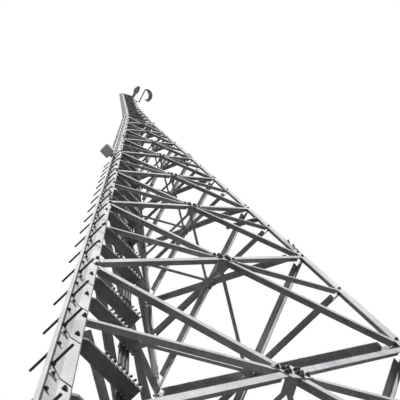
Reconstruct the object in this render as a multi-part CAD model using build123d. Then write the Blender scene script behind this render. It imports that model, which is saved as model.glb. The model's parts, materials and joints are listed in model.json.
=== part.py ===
from build123d import *
import math
import os

os.makedirs("parts", exist_ok=True)

# A three-legged radio mast, in millimetres, +Z up. The origin is the middle of
# the underside of the near leg's foot plate.

# Overall sizes
base_width = 2380
taper = 0.0642
first_level = 1650
panel_height = 2750
panels_per_section = 3
head_height = 11700
head_top_width = 455
head_panels = 13
head_tapered_panels = 6

# Sections of steel
leg_flange = 52
leg_thick = 8
head_leg_flange = 50
head_leg_thick = 6
diagonal_size = 50
diagonal_thick = 5
level_size = 40
level_thick = 4
head_bar_size = 30
head_bar_thick = 4
head_bar_edge = 42
plate_thick = 6
frame_bar_size = 25
frame_bar_thick = 3
framed_panels = 7
cleat_width = 60
cleat_depth = 92
collar_size = 80
collar_thick = 8

# Joints
node_gap = 75
bar_edge = diagonal_size / 2 + 23
splice_above_level = 450
splice_length = 420
splice_thick = 8

# Feet
foot_plate = 320
foot_plate_thick = 25
foot_offset = 25
anchor_spacing = 230
anchor_hole_r = 13
shoe_height = 360
shoe_thick = 10

# Climbing rail and step bolts on the near leg
rail_web = 80
rail_web_thick = 6
rail_flange = 38
rail_flange_thick = 5
rail_bottom = 1900
step_first = 2124
step_top = 14000
step_pitch = 281
step_bolt_across = 13
step_bolt_sides = 8
step_bolt_left = 146
step_bolt_right = 104

# Feeder run inside the near leg
hanger_pitch = 770
hanger_reach = 376
hanger_width = 66
hanger_depth = 26
hanger_sheet = 4
cable_r = 10
cable_pitch = 23
cable_count = 3
cable_bottom = 1500

# Arms on the right leg
arm_places = ((11900, 385), (12620, 240))
arm_width = 46
arm_depth = 30

# Channels, box and head feeders
channel_below_joint = 2700
channel_wide = 46
channel_deep = 110
channel_sheet = 3
channel_edge = 8
head_channel_edge = 4
box_level = 13840
box_width = 124
box_depth = 118
box_height = 240
head_cable_r = 9
head_cable_pitch = 26
head_cable_count = 5
head_cable_first = 150

# Aerials and cap
horn_drop = 60
horn_azimuth = 282
horn_neck = 92
horn_neck_length = 90
horn_length = 415
horn_width = 185
horn_thick = 60
loop_drop = 3200
loop_bracket = 92
loop_azimuth = 280.5
loop_reach = 445
loop_thick = 90
loop_arm_thick = 38
cap_thick = 8
cap_overhang = 12

root3 = math.sqrt(3)
section_count = 3
panel_count = panels_per_section * section_count
kink = first_level + panel_count * panel_height
mast_top = kink + head_height
kink_width = base_width - taper * kink
head_step = head_height / head_panels
head_bend = kink + head_tapered_panels * head_step
head_taper = (kink_width - head_top_width) / (head_bend - kink)
axis_distance = base_width / root3 - foot_offset
axis_x = axis_distance * math.cos(math.radians(30))
axis_y = axis_distance * math.sin(math.radians(30))


def width_at(z):
    if z <= kink:
        return base_width - taper * z
    return max(kink_width - head_taper * (z - kink), head_top_width)


def polar(radius, azimuth):
    angle = math.radians(azimuth)
    return Vector(radius * math.cos(angle), radius * math.sin(angle), 0)


def corner(azimuth, z):
    """Outer edge of a leg. In the head the near leg is plumb and the others close in on it."""
    shape_z = min(z, kink)
    centre = Vector(axis_x, axis_y, z)
    own = centre + polar(width_at(shape_z) / root3, azimuth)
    near = centre + polar(width_at(shape_z) / root3, 210)
    return near + (own - near) * (width_at(z) / width_at(shape_z))


def on_face(azimuth, across, z):
    middle = (corner(azimuth - 60, z) + corner(azimuth + 60, z)) * 0.5
    return middle + polar(across, azimuth + 90)


def face_normal(azimuth, z):
    """Outward normal of a face, at a height clear of the bends."""
    first = corner(azimuth - 60, z)
    level = corner(azimuth + 60, z) - first
    rise = corner(azimuth - 60, z + 1) - first
    return level.cross(rise).normalized()


def oblique(points, z0, z1, low, high):
    """Prism with horizontal ends, pushed along the line from low to high."""
    outline = Polyline(*[(p.X, p.Y, z0) for p in points], close=True)
    run = (high - low) * ((z1 - z0) / (high.Z - low.Z))
    return Solid.extrude(Face(Wire(outline.edges())), run)


def strip(start, end, normal, side_low, side_high, out_low, out_high):
    """Rectangular bar from start to end; side is square to it within the face."""
    along = (end - start).normalized()
    side = along.cross(normal).normalized()
    if side.Z < 0:
        side = side * -1
    base = Plane(origin=start, x_dir=side, z_dir=along)
    out = base.y_dir.dot(normal)
    low, high = sorted((out * out_low, out * out_high))
    shape = Pos((side_low + side_high) / 2, (low + high) / 2) * Rectangle(
        side_high - side_low, high - low
    )
    return extrude(base * shape, (end - start).length)


def angle_bar(start, end, normal, size, thick, cope_start=0, cope_end=0):
    """Angle section: one flange in the face, the other standing inward at its top edge."""
    along = (end - start).normalized()
    flat = strip(start, end, normal, -size / 2, size / 2, -thick, 0)
    stand = strip(
        start + along * cope_start,
        end - along * cope_end,
        normal,
        size / 2 - thick,
        size / 2,
        -size,
        0,
    )
    return flat.fuse(stand)


def fuse_all(shapes):
    first = shapes[0]
    return first.fuse(*shapes[1:]) if len(shapes) > 1 else first


def turned(shape, angle):
    return shape.rotate(Axis((axis_x, axis_y, 0), (0, 0, 1)), angle)


def save(shape, name):
    solids = shape.solids() if not isinstance(shape, list) else shape
    result = Compound(children=list(solids)) if len(solids) > 1 else solids[0]
    export_step(result, f"parts/{name}.step")
    print(name, len(solids), round(sum(s.volume for s in solids) / 1e6, 2))


# Legs: formed angles closed to the mast's three corners, vertex outward
def leg_outline(vertex, azimuth, flange, thick):
    along_a = polar(1, azimuth + 150)
    along_b = polar(1, azimuth + 210)
    inward = polar(1, azimuth + 180)
    inner = vertex + inward * (thick / math.sin(math.radians(30)))
    to_b = thick / math.sin(math.radians(60))
    tip_a = vertex + along_a * flange
    tip_b = vertex + along_b * flange
    square_a = along_b * to_b
    square_b = along_a * to_b
    return [vertex, tip_a, tip_a + square_a, inner, tip_b + square_b, tip_b]


def leg_piece(azimuth, z0, z1, flange, thick, low_z, high_z):
    vertex = corner(azimuth, z0)
    points = leg_outline(vertex, azimuth, flange, thick)
    return oblique(points, z0, z1, corner(azimuth, low_z), corner(azimuth, high_z))


leg_azimuths = {"near": 210, "right": 330, "back": 90}
joint_1 = first_level + panels_per_section * panel_height + splice_above_level
joint_2 = joint_1 + panels_per_section * panel_height
leg_spans = {
    "lower": (foot_plate_thick, joint_1),
    "middle": (joint_1, joint_2),
    "upper": (joint_2, kink),
}
for leg_name, azimuth in leg_azimuths.items():
    for span_name, (z0, z1) in leg_spans.items():
        piece = leg_piece(azimuth, z0, z1, leg_flange, leg_thick, 0, kink)
        save([piece], f"leg_{leg_name}_{span_name}")


def head_leg(azimuth):
    flange, thick = head_leg_flange, head_leg_thick
    below = leg_piece(azimuth, kink, head_bend, flange, thick, kink, head_bend)
    above = leg_piece(azimuth, head_bend, mast_top, flange, thick, head_bend, mast_top)
    return below.fuse(above).solids()[0]


save([head_leg(a) for a in leg_azimuths.values()], "head_legs")


# Splice plates on the outside of both flanges at each leg joint
def cover_plate(azimuth, side, z0, z1, thick, low_z=0, high_z=kink, flange=leg_flange):
    low, high = corner(azimuth, low_z), corner(azimuth, high_z)
    along = polar(1, azimuth + 180 + side * 30)
    out = polar(1, azimuth + 180 + side * 120)
    vertex = corner(azimuth, z0)
    near = vertex + along * 10
    far = vertex + along * (flange - 2)
    points = [near, far, far + out * thick, near + out * thick]
    return oblique(points, z0, z1, low, high)


splices = []
for azimuth in leg_azimuths.values():
    for joint in (joint_1, joint_2):
        for side in (-1, 1):
            z0, z1 = joint - splice_length / 2, joint + splice_length / 2
            splices.append(cover_plate(azimuth, side, z0, z1, splice_thick))


def kink_plate(azimuth, side):
    z0, z1 = kink - splice_length / 2, kink + splice_length / 2
    flange = head_leg_flange
    below = cover_plate(azimuth, side, z0, kink, splice_thick, 0, kink, flange)
    above = cover_plate(azimuth, side, kink, z1, splice_thick, kink, head_bend, flange)
    return below.fuse(above).solids()[0]


for azimuth in leg_azimuths.values():
    splices += [kink_plate(azimuth, side) for side in (-1, 1)]
save(splices, "leg_splices")


# Feet: plate with four anchor holes and a shoe round the leg
def foot(azimuth):
    vertex = corner(azimuth, 0)
    centre = vertex + polar(foot_offset, azimuth + 180)
    plate = Pos(centre.X, centre.Y, foot_plate_thick / 2) * Box(
        foot_plate, foot_plate, foot_plate_thick
    )
    half = anchor_spacing / 2
    for dx in (-half, half):
        for dy in (-half, half):
            hole = Pos(centre.X + dx, centre.Y + dy, foot_plate_thick / 2)
            plate -= hole * Cylinder(anchor_hole_r, foot_plate_thick * 2)
    low, high = corner(azimuth, 0), corner(azimuth, kink)
    z0, z1 = foot_plate_thick, foot_plate_thick + shoe_height
    start = corner(azimuth, z0)
    along_a = polar(1, azimuth + 150)
    along_b = polar(1, azimuth + 210)
    tip_a = start + along_a * (leg_flange + 15)
    tip_b = start + along_b * (leg_flange + 15)
    out_a = polar(shoe_thick, azimuth + 60)
    out_b = polar(shoe_thick, azimuth - 60)
    nose = start + polar(2 * shoe_thick, azimuth)
    points = [start, tip_a, tip_a + out_a, nose, tip_b + out_b, tip_b]
    shoe = oblique(points, z0, z1, low, high)
    return plate.fuse(shoe)


for leg_name, azimuth in leg_azimuths.items():
    save(foot(azimuth), f"foot_{leg_name}")


# Face bracing: crossed angles with a level bar and a plate where they cross
def trim_at_crossing(own_half, other_half, angle):
    return (other_half + own_half * abs(math.cos(angle))) / math.sin(angle) + 4


def bar_between(p, q, normal, size, thick, start_trim, end_trim, start_cope, end_cope):
    along = (q - p).normalized()
    start = p + along * start_trim
    end = q - along * end_trim
    return angle_bar(start, end, normal, size, thick, start_cope, end_cope)


def cope_for(size, steep, rising_away):
    """How far the standing flange is cut back so that two faces' bars clear at a leg."""
    reach = (leg_thick + size) * root3 + 8
    edge = size / 2 if rising_away else diagonal_thick - size / 2
    shift = edge * math.sin(steep)
    lean = taper / 2 * math.sin(steep) * (-1 if rising_away else 1)
    return max(reach - bar_edge + shift, 12) / (math.cos(steep) + lean)


def crossing_height(z0, z1):
    w0, w1 = width_at(z0), width_at(z1)
    return z0 + (z1 - z0) * w0 / (w0 + w1)


def face_panel(azimuth, z0, z1, framed):
    normal = face_normal(azimuth, z0)
    depth = normal * -leg_thick
    edge = bar_edge
    low, high = z0 + node_gap, z1 - node_gap
    half_low, half_high = width_at(low) / 2 - edge, width_at(high) / 2 - edge
    left_low = on_face(azimuth, -half_low, low) + depth
    left_high = on_face(azimuth, -half_high, high) + depth
    right_low = on_face(azimuth, half_low, low) + depth
    right_high = on_face(azimuth, half_high, high) + depth
    share = half_low / (half_low + half_high)
    middle = left_high + (right_low - left_high) * (1 - share)
    bars = []
    steep = math.atan2(high - low, half_low + half_high)
    cope_up = cope_for(diagonal_size, steep, True)
    cope_down = cope_for(diagonal_size, steep, False)
    cope_level = cope_for(level_size, 0, True)
    cross_angle = math.pi - 2 * steep if 2 * steep > math.pi / 2 else 2 * steep
    half = diagonal_size / 2
    gap = trim_at_crossing(half, half, cross_angle)
    bars.append(
        bar_between(
            left_high,
            right_low,
            normal,
            diagonal_size,
            diagonal_thick,
            0,
            0,
            cope_down,
            cope_up,
        )
    )
    for outer, cope in ((left_low, cope_up), (right_high, cope_down)):
        bars.append(
            bar_between(
                outer, middle, normal, diagonal_size, diagonal_thick, 0, gap, cope, 0
            )
        )
    level_half = width_at(middle.Z) / 2 - edge
    level_gap = trim_at_crossing(level_size / 2, half, steep)
    for sign in (-1, 1):
        outer = on_face(azimuth, sign * level_half, middle.Z - depth.Z) + depth
        bars.append(
            bar_between(
                outer,
                middle,
                normal,
                level_size,
                level_thick,
                0,
                level_gap,
                cope_level,
                0,
            )
        )
    along = (right_low - left_high).normalized()
    reach = max(gap * math.cos(cross_angle), level_gap * math.cos(steep)) + 45
    rise = max(gap * math.sin(cross_angle), level_gap * math.sin(steep)) + 32
    bars.append(
        strip(
            middle - along * reach,
            middle + along * reach,
            normal,
            -rise,
            rise,
            0,
            plate_thick,
        )
    )
    if framed:
        bars.append(cleat(azimuth, middle))
    return bars, middle.Z


def cleat(azimuth, middle):
    """Level plate standing inward from the crossing for the plan frame to sit on."""
    top = middle.Z - level_size / 2 - 12
    centre = on_face(azimuth, 0, top)
    out = polar(1, azimuth)
    across = polar(1, azimuth + 90)
    face_in = leg_thick + 2
    a = centre - out * face_in - across * cleat_width / 2
    b = centre - out * face_in + across * cleat_width / 2
    c = b - out * cleat_depth
    d = a - out * cleat_depth
    outline = Polyline(*[(p.X, p.Y, top - plate_thick) for p in (a, b, c, d)], close=True)
    return Solid.extrude(Face(Wire(outline.edges())), Vector(0, 0, plate_thick))


def level_ring_bar(azimuth, z, thick_leg, size, thick):
    normal = face_normal(azimuth, z)
    half = width_at(z) / 2 - bar_edge
    depth = normal * -thick_leg
    p = on_face(azimuth, -half, z - depth.Z) + depth
    q = on_face(azimuth, half, z - depth.Z) + depth
    cope = cope_for(size, 0, True)
    return bar_between(p, q, normal, size, thick, 0, 0, cope, cope)


face_azimuths = {"front": 270, "right": 30, "left": 150}
section_names = ["lower", "middle", "upper"]
crossing_levels = []
for index, section in enumerate(section_names):
    bars = []
    for k in range(panels_per_section):
        number = index * panels_per_section + k
        z0 = first_level + number * panel_height
        framed = number < framed_panels
        more, crossing = face_panel(270, z0, z0 + panel_height, framed)
        bars += more
        if framed:
            crossing_levels.append(crossing)
    if index == 0:
        z = first_level - node_gap
        normal = face_normal(270, z)
        depth = normal * -leg_thick
        level = level_ring_bar(270, z, leg_thick, diagonal_size, diagonal_thick)
        foot_z = foot_plate_thick + shoe_height + 60
        knees = []
        for sign in (-1, 1):
            outer = on_face(270, sign * (width_at(foot_z) / 2 - bar_edge), foot_z) + depth
            inner = on_face(270, sign * 20, z) + depth
            knees.append(
                bar_between(
                    outer, inner, normal, diagonal_size, diagonal_thick, 0, 30, 150, 30
                )
            )
        bars += [level] + knees
    if index == section_count - 1:
        collar_z = kink - collar_size * 3 / 4
        bars.append(level_ring_bar(270, collar_z, leg_thick, collar_size, collar_thick))
    whole = fuse_all(bars)
    for face_name, azimuth in face_azimuths.items():
        save(turned(whole, azimuth - 270), f"bracing_{face_name}_{section}")


# Plan frames: a triangle of angles between the crossings of the three faces
def plan_frame(z):
    seat = z - level_size / 2 - 12
    inset = leg_thick + 70
    points = [on_face(a, 0, seat) - polar(inset, a) for a in face_azimuths.values()]
    centre = Vector(axis_x, axis_y, seat)
    bars = []
    for i in range(3):
        p, q = points[i], points[(i + 1) % 3]
        along = (q - p).normalized()
        out = ((p + q) * 0.5 - centre).normalized()
        p, q = p - along * 18, q + along * 18
        base = Plane(origin=p, x_dir=out, z_dir=along)
        turn = 1 if base.y_dir.Z > 0 else -1
        size, thick = frame_bar_size, frame_bar_thick
        flat = Pos(0, turn * thick / 2) * Rectangle(size, thick)
        stand = Pos((thick - size) / 2, turn * size / 2) * Rectangle(thick, size)
        bars.append(extrude(base * (flat + stand), (q - p).length))
    return fuse_all(bars)


lower_frames = [plan_frame(z) for z in crossing_levels[:4]]
upper_frames = [plan_frame(z) for z in crossing_levels[4:]]
save([s for f in lower_frames for s in f.solids()], "plan_frames_lower")
save([s for f in upper_frames for s in f.solids()], "plan_frames_upper")


# Mast head: close crossed bracing between lighter legs
def head_face(azimuth):
    size, thick = head_bar_size, head_bar_thick
    bars = []
    for k in range(head_panels):
        low = kink + k * head_step + size
        high = low + head_step - 2 * size
        normal = face_normal(azimuth, low)
        depth = normal * -head_leg_thick
        half_low = width_at(low) / 2 - head_bar_edge
        half_high = width_at(high) / 2 - head_bar_edge
        a = on_face(azimuth, -half_low, low) + depth
        b = on_face(azimuth, half_high, high) + depth
        c = on_face(azimuth, half_low, low) + depth
        d = on_face(azimuth, -half_high, high) + depth
        bars.append(strip(a, b, normal, -size / 2, size / 2, -thick, 0))
        bars.append(strip(c, d, normal, -size / 2, size / 2, -thick, 0))
        bars.append(level_ring_bar(azimuth, high, head_leg_thick, size, thick))
    return fuse_all(bars)


for face_name, azimuth in face_azimuths.items():
    save(head_face(azimuth), f"head_bracing_{face_name}")


# Climbing rail: a tee on the near leg's corner, with step bolts to either side
def leg_polygon(azimuth, z, points):
    """Level outline beside a leg; each point is (outward, sideways) from the leg's corner."""
    vertex = corner(azimuth, z)
    out, across = polar(1, azimuth), polar(1, azimuth + 90)
    return [vertex + out * r + across * s for r, s in points]


half_web = rail_web_thick / 2
half_rail = rail_flange / 2
tee = [
    (0, 0),
    (-half_web * root3, half_web),
    (rail_web, half_web),
    (rail_web, half_rail),
    (rail_web + rail_flange_thick, half_rail),
    (rail_web + rail_flange_thick, -half_rail),
    (rail_web, -half_rail),
    (rail_web, -half_web),
    (-half_web * root3, -half_web),
]
rails = []
rail_joints = [rail_bottom, joint_1, joint_2, kink - 60]
for z0, z1 in zip(rail_joints[:-1], rail_joints[1:]):
    rails.append(oblique(leg_polygon(210, z0, tee), z0, z1, corner(210, 0), corner(210, kink)))
save(rails, "climbing_rail")

steps = []
count = int((step_top - step_first) / step_pitch) + 1
for k in range(count):
    z = step_first + k * step_pitch
    side, length = ((1, step_bolt_right), (-1, step_bolt_left))[k % 2]
    across = polar(side, 300)
    start = corner(210, z) + polar(rail_web * 0.55, 210) + across * half_web
    seat = Plane(origin=start, z_dir=across)
    section = RegularPolygon(step_bolt_across / 2, step_bolt_sides, major_radius=False)
    steps.append(extrude(seat * section, length).solids()[0])
save(steps, "step_bolts")


# Feeder run: channels reaching inward from the near leg, with cables on their left side
def channel_arm(azimuth, z, reach, width, depth, sheet, top_z=kink):
    """Channel with its web below, closed against the inside corner of a leg."""
    inner = -leg_thick / math.sin(math.radians(30))
    half = width / 2
    nose = inner - half * root3
    lip = 12
    outline = [
        (inner - lip * root3, lip),
        (nose, half),
        (-reach, half),
        (-reach, -half),
        (nose, -half),
        (inner - lip * root3, -lip),
    ]
    low, high = corner(azimuth, 0), corner(azimuth, top_z)
    block = oblique(leg_polygon(azimuth, z, outline), z, z + depth, low, high)
    inside = half - sheet
    pocket = [(nose - 6, inside), (-reach - 1, inside), (-reach - 1, -inside), (nose - 6, -inside)]
    floor = z + sheet
    cut = oblique(leg_polygon(azimuth, floor, pocket), floor, z + depth + 1, low, high)
    return block - cut


def hanger_level(z):
    """The wanted height, or the nearest one clear of the bracing where it meets the leg."""
    panel = math.floor((z - first_level) / panel_height)
    below = first_level + panel * panel_height
    crossing = crossing_height(below, below + panel_height)
    node = below if z < crossing else below + panel_height
    narrow = width_at(node + panel_height / 2)
    slope = (panel_height - 2 * node_gap) / (narrow - 2 * bar_edge)
    bar_half = diagonal_size / 2 * math.hypot(1, slope)
    bars_end = node_gap + (2 * hanger_inner_reach - bar_edge) * slope + bar_half + hanger_width
    away = abs(z - node)
    if away < node_gap - diagonal_size:
        return z
    z = node + math.copysign(max(away, bars_end), z - node)
    if abs(z - crossing) < level_size + hanger_depth:
        z = crossing + math.copysign(level_size + hanger_depth, z - crossing)
    return z


def hanger(z):
    low = z - hanger_depth / 2
    return channel_arm(210, low, hanger_reach, hanger_width, hanger_depth, hanger_sheet)


hanger_inner_reach = leg_thick + diagonal_size + hanger_width / 2
hanger_count = int((kink - 500 - first_level) / hanger_pitch)
hanger_levels = [hanger_level(first_level + k * hanger_pitch) for k in range(1, hanger_count)]
save([hanger(z).solids()[0] for z in hanger_levels], "feeder_hangers")

run = (corner(210, kink) - corner(210, 0)).normalized()
length = (hanger_levels[-1] + 200 - cable_bottom) / run.Z
cable_offset = hanger_width / 2 + cable_r + 0.3
cables = []
for k in range(cable_count):
    r = hanger_reach - cable_r - k * cable_pitch
    start = corner(210, cable_bottom) + polar(-r, 210) + polar(-cable_offset, 300)
    cables.append(Solid.make_cylinder(cable_r, length, Plane(origin=start, z_dir=run)))
save(cables, "feeder_cables")

# Arms reaching inward from the right leg
arms = [
    channel_arm(330, z, reach, arm_width, arm_depth, hanger_sheet).solids()[0]
    for z, reach in arm_places
]
save(arms, "right_leg_arms")


# Channels closed against the near leg's left flange, above the step bolts
def side_channel(z0, z1, low_z, high_z, near_edge, wide, deep, sheet):
    vertex = corner(210, z0)
    along = polar(1, 60)
    out = polar(1, 150)
    a = vertex + along * near_edge
    b = a + along * wide
    outer = [a, a + out * deep, b + out * deep, b]
    inner = [
        b - along * sheet,
        b - along * sheet + out * (deep - sheet),
        a + along * sheet + out * (deep - sheet),
        a + along * sheet,
    ]
    return oblique(outer + inner, z0, z1, corner(210, low_z), corner(210, high_z))


def channel_run(z0, z1, low_z, high_z, near_edge):
    return side_channel(
        z0, z1, low_z, high_z, near_edge, channel_wide, channel_deep, channel_sheet
    )


clear = splice_length / 2 + 20
channel_start = joint_2 - channel_below_joint
lower_channel = channel_run(channel_start, joint_2 - clear, 0, kink, channel_edge)
upper_channel = channel_run(joint_2 + clear, kink - clear, 0, kink, channel_edge)
save([lower_channel, upper_channel], "side_channel")
head_channel = channel_run(kink + clear, mast_top, kink, head_bend, head_channel_edge)
save([head_channel], "head_channel")

# Square box on the climbing rail where the step bolts end
box_back = rail_web + rail_flange_thick
box_polygon = [
    (box_back, box_width / 2),
    (box_back + box_depth, box_width / 2),
    (box_back + box_depth, -box_width / 2),
    (box_back, -box_width / 2),
]
low, high = corner(210, 0), corner(210, kink)
box_outline = leg_polygon(210, box_level, box_polygon)
cabinet = oblique(box_outline, box_level, box_level + box_height, low, high)
save([cabinet], "side_box")


# Aerials: flat blades with rounded edges, each on a clamp block on the front face
def head_block(u0, u1, z, tall, out_low, out_high):
    p, q = on_face(270, u0, z), on_face(270, u1, z)
    normal = face_normal(270, z)
    return strip(p, q, normal, -tall / 2, tall / 2, out_low, out_high)


def level_plate(edges, z, thick):
    outline = Face(Wire(edges))
    return Solid.extrude(outline.moved(Location((0, 0, z))), Vector(0, 0, thick))


def horn_aerial():
    level = mast_top - horn_drop
    leg_edge = width_at(level) / 2
    root = on_face(270, leg_edge - horn_neck / 2, level) + polar(12, 270)
    along = polar(1, horn_azimuth)
    across = polar(1, horn_azimuth + 90)

    def point(reach, side):
        at = root + along * reach + across * side
        return (at.X, at.Y, 0)

    half = horn_neck / 2
    belly = horn_width / 2
    mid = (horn_neck_length + horn_length) / 2
    tip = point(horn_length, horn_neck / 3)
    edges = [
        Line(point(0, half), point(0, -half)),
        Line(point(0, -half), point(horn_neck_length, -half)),
        ThreePointArc(point(horn_neck_length, -half), point(mid, -belly), tip),
        ThreePointArc(tip, point(mid, belly), point(horn_neck_length, half)),
        Line(point(horn_neck_length, half), point(0, half)),
    ]
    blade = level_plate(edges, level - horn_thick / 2, horn_thick)
    block = head_block(leg_edge - horn_neck, leg_edge - 2, level, horn_thick + 20, 0, 30)
    return blade.fuse(block).solids()[0]


def loop_aerial():
    level = mast_top - loop_drop
    leg_edge = width_at(level) / 2
    start = on_face(270, leg_edge + loop_bracket - 20, level) + polar(14, 270)
    hook = start + polar(loop_reach, loop_azimuth)
    eye = hook + polar(171, 71)

    def point(centre, radius, azimuth):
        at = centre + polar(radius, azimuth)
        return (at.X, at.Y, 0)

    out = polar(loop_arm_thick / 2, loop_azimuth + 90)
    arm_points = [start - out, start + out, hook + out, hook - out]
    arm_outline = Polyline(*[(p.X, p.Y, 0) for p in arm_points], close=True)
    arm = level_plate(arm_outline.edges(), level - loop_arm_thick / 2, loop_arm_thick)
    outer_start, outer_end = point(hook, 22, 250), point(eye, 232, 59)
    inner_start, inner_end = point(hook, 22, 60), point(eye, 147, 54)
    tail = point(eye, 146, 94)
    edges = [
        ThreePointArc(outer_start, point(eye, 212, 322), outer_end),
        Line(outer_end, tail),
        Line(tail, inner_end),
        ThreePointArc(inner_end, point(eye, 95, 320), inner_start),
        Line(inner_start, outer_start),
    ]
    band = level_plate(edges, level - loop_thick / 2, loop_thick)
    block = head_block(leg_edge - 48, leg_edge + loop_bracket, level, loop_thick, 0, 30)
    return arm.fuse(band, block).solids()[0]


save([horn_aerial()], "horn_aerial")
save([loop_aerial()], "loop_aerial")

# Feeders in the head, plumb behind the left face's bracing
head_cables = []
left_normal = face_normal(150, kink + 1)
inset = head_leg_thick + head_bar_size + head_cable_r + 0.3
for k in range(head_cable_count):
    along = head_cable_first + k * head_cable_pitch
    start = corner(210, kink + 90) + polar(along, 60) - left_normal * inset
    head_cables.append(
        Solid.make_cylinder(head_cable_r, head_height - 500, Plane(origin=start, z_dir=(0, 0, 1)))
    )
save(head_cables, "head_cables")

# Cap on the head
cap_points = [corner(a, mast_top) + polar(cap_overhang, a) for a in leg_azimuths.values()]
cap_outline = Polyline(*[(p.X, p.Y, mast_top) for p in cap_points], close=True)
cap = Solid.extrude(Face(Wire(cap_outline.edges())), Vector(0, 0, cap_thick))
save([cap], "head_cap")
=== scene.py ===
import bmesh
import bpy
import json
import math
import random
from mathutils import Euler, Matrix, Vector


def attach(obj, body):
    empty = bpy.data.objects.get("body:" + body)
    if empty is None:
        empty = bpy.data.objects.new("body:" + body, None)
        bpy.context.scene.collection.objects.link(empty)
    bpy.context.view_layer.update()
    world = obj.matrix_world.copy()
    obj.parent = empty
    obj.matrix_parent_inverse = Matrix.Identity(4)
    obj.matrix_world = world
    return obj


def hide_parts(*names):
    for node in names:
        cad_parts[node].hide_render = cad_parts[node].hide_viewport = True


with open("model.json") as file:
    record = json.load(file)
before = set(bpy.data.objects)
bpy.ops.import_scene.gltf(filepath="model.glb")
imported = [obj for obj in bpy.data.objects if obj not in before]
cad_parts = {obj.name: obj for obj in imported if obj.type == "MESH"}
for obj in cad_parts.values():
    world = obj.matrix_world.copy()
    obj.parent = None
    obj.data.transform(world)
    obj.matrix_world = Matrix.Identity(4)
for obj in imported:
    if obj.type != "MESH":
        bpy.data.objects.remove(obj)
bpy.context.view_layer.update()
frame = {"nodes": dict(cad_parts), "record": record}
nodes = frame["nodes"]
random.seed(41)
print("frame loaded:", len(nodes), "nodes")

# The mast in metres, the same driving sizes as the steelwork
mast = {
    "baseWidth": 2.380, "taper": 0.0642, "firstLevel": 1.650, "panel": 2.750, "panels": 9,
    "panelsPerSection": 3, "headHeight": 11.700, "headTopWidth": 0.455, "headPanels": 13,
    "headTapered": 6, "legFlange": 0.052, "legThick": 0.008, "headLegThick": 0.006,
    "footOffset": 0.025,
}
root3 = math.sqrt(3)
sectionHeight = mast["panelsPerSection"] * mast["panel"]
kink = mast["firstLevel"] + mast["panels"] * mast["panel"]
mastTop = kink + mast["headHeight"]
kinkWidth = mast["baseWidth"] - mast["taper"] * kink
headStep = mast["headHeight"] / mast["headPanels"]
headBend = kink + mast["headTapered"] * headStep
headTaper = (kinkWidth - mast["headTopWidth"]) / (headBend - kink)
legAzimuths = {"near": 210, "right": 330, "back": 90}
faceAzimuths = {"front": 270, "right": 30, "left": 150}
nearLeg = legAzimuths["near"]
sections = ["lower", "middle", "upper"]
up = Vector((0, 0, 1))


def polar(radius, azimuth):
    angle = math.radians(azimuth)
    return Vector((radius * math.cos(angle), radius * math.sin(angle), 0))


axis = polar(mast["baseWidth"] / root3 - mast["footOffset"], nearLeg - 180)
railOut, railSide = polar(1, nearLeg), polar(1, nearLeg + 90)


def widthAt(z):
    if z <= kink:
        return mast["baseWidth"] - mast["taper"] * z
    return max(kinkWidth - headTaper * (z - kink), mast["headTopWidth"])


def corner(azimuth, z):
    # Outer edge of a leg; above the kink the near leg is plumb and the others lean in to it
    shape = min(z, kink)
    centre = axis + up * z
    own = centre + polar(widthAt(shape) / root3, azimuth)
    near = centre + polar(widthAt(shape) / root3, nearLeg)
    return near + (own - near) * (widthAt(z) / widthAt(shape))


def onFace(azimuth, across, z):
    middle = (corner(azimuth - 60, z) + corner(azimuth + 60, z)) / 2
    return middle + polar(across, azimuth + 90)


def faceNormal(azimuth, z):
    first = corner(azimuth - 60, z)
    level = corner(azimuth + 60, z) - first
    rise = corner(azimuth - 60, z + 0.001) - first  # a millimetre up the leg
    return level.cross(rise).normalized()


def legPoint(azimuth, z, out, across):
    return corner(azimuth, z) + polar(out, azimuth) + polar(across, azimuth + 90)


# Materials
def linear(hexColour):
    parts = [int(hexColour[i:i + 2], 16) / 255 for i in (1, 3, 5)]
    return [p / 12.92 if p <= 0.04045 else ((p + 0.055) / 1.055) ** 2.4 for p in parts] + [1]


def addNode(owner, kind, settings=None, links=None):
    # Settings are socket values, options of the node, or the two stops of a colour ramp
    node = owner.node_tree.nodes.new(kind)
    for name, value in (settings or {}).items():
        if name == "stops":
            for element, (place, colour) in zip(node.color_ramp.elements, value):
                element.position, element.color = place, linear(colour)
        elif name in node.inputs:
            node.inputs[name].default_value = value
        else:
            setattr(node, name, value)
    for name, source in (links or {}).items():
        owner.node_tree.links.new(source, node.inputs[name])
    return node


def newMaterial(name):
    material = bpy.data.materials.new(name)
    material.use_nodes = True
    material.node_tree.nodes.clear()
    return material


# Weathering of the zinc: cloudy dulling and darker run marks down the steel. Values whose names
# end in Mm are in millimetres, the height of the bump is in metres.
zinc = {
    "cloudMm": 350, "runMm": 45, "runStretch": 0.06, "cloudShare": 0.65, "runDark": 0.35,
    "roughSwing": 0.08, "bump": 0.25, "bumpHeight": 0.0006,
}


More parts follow.
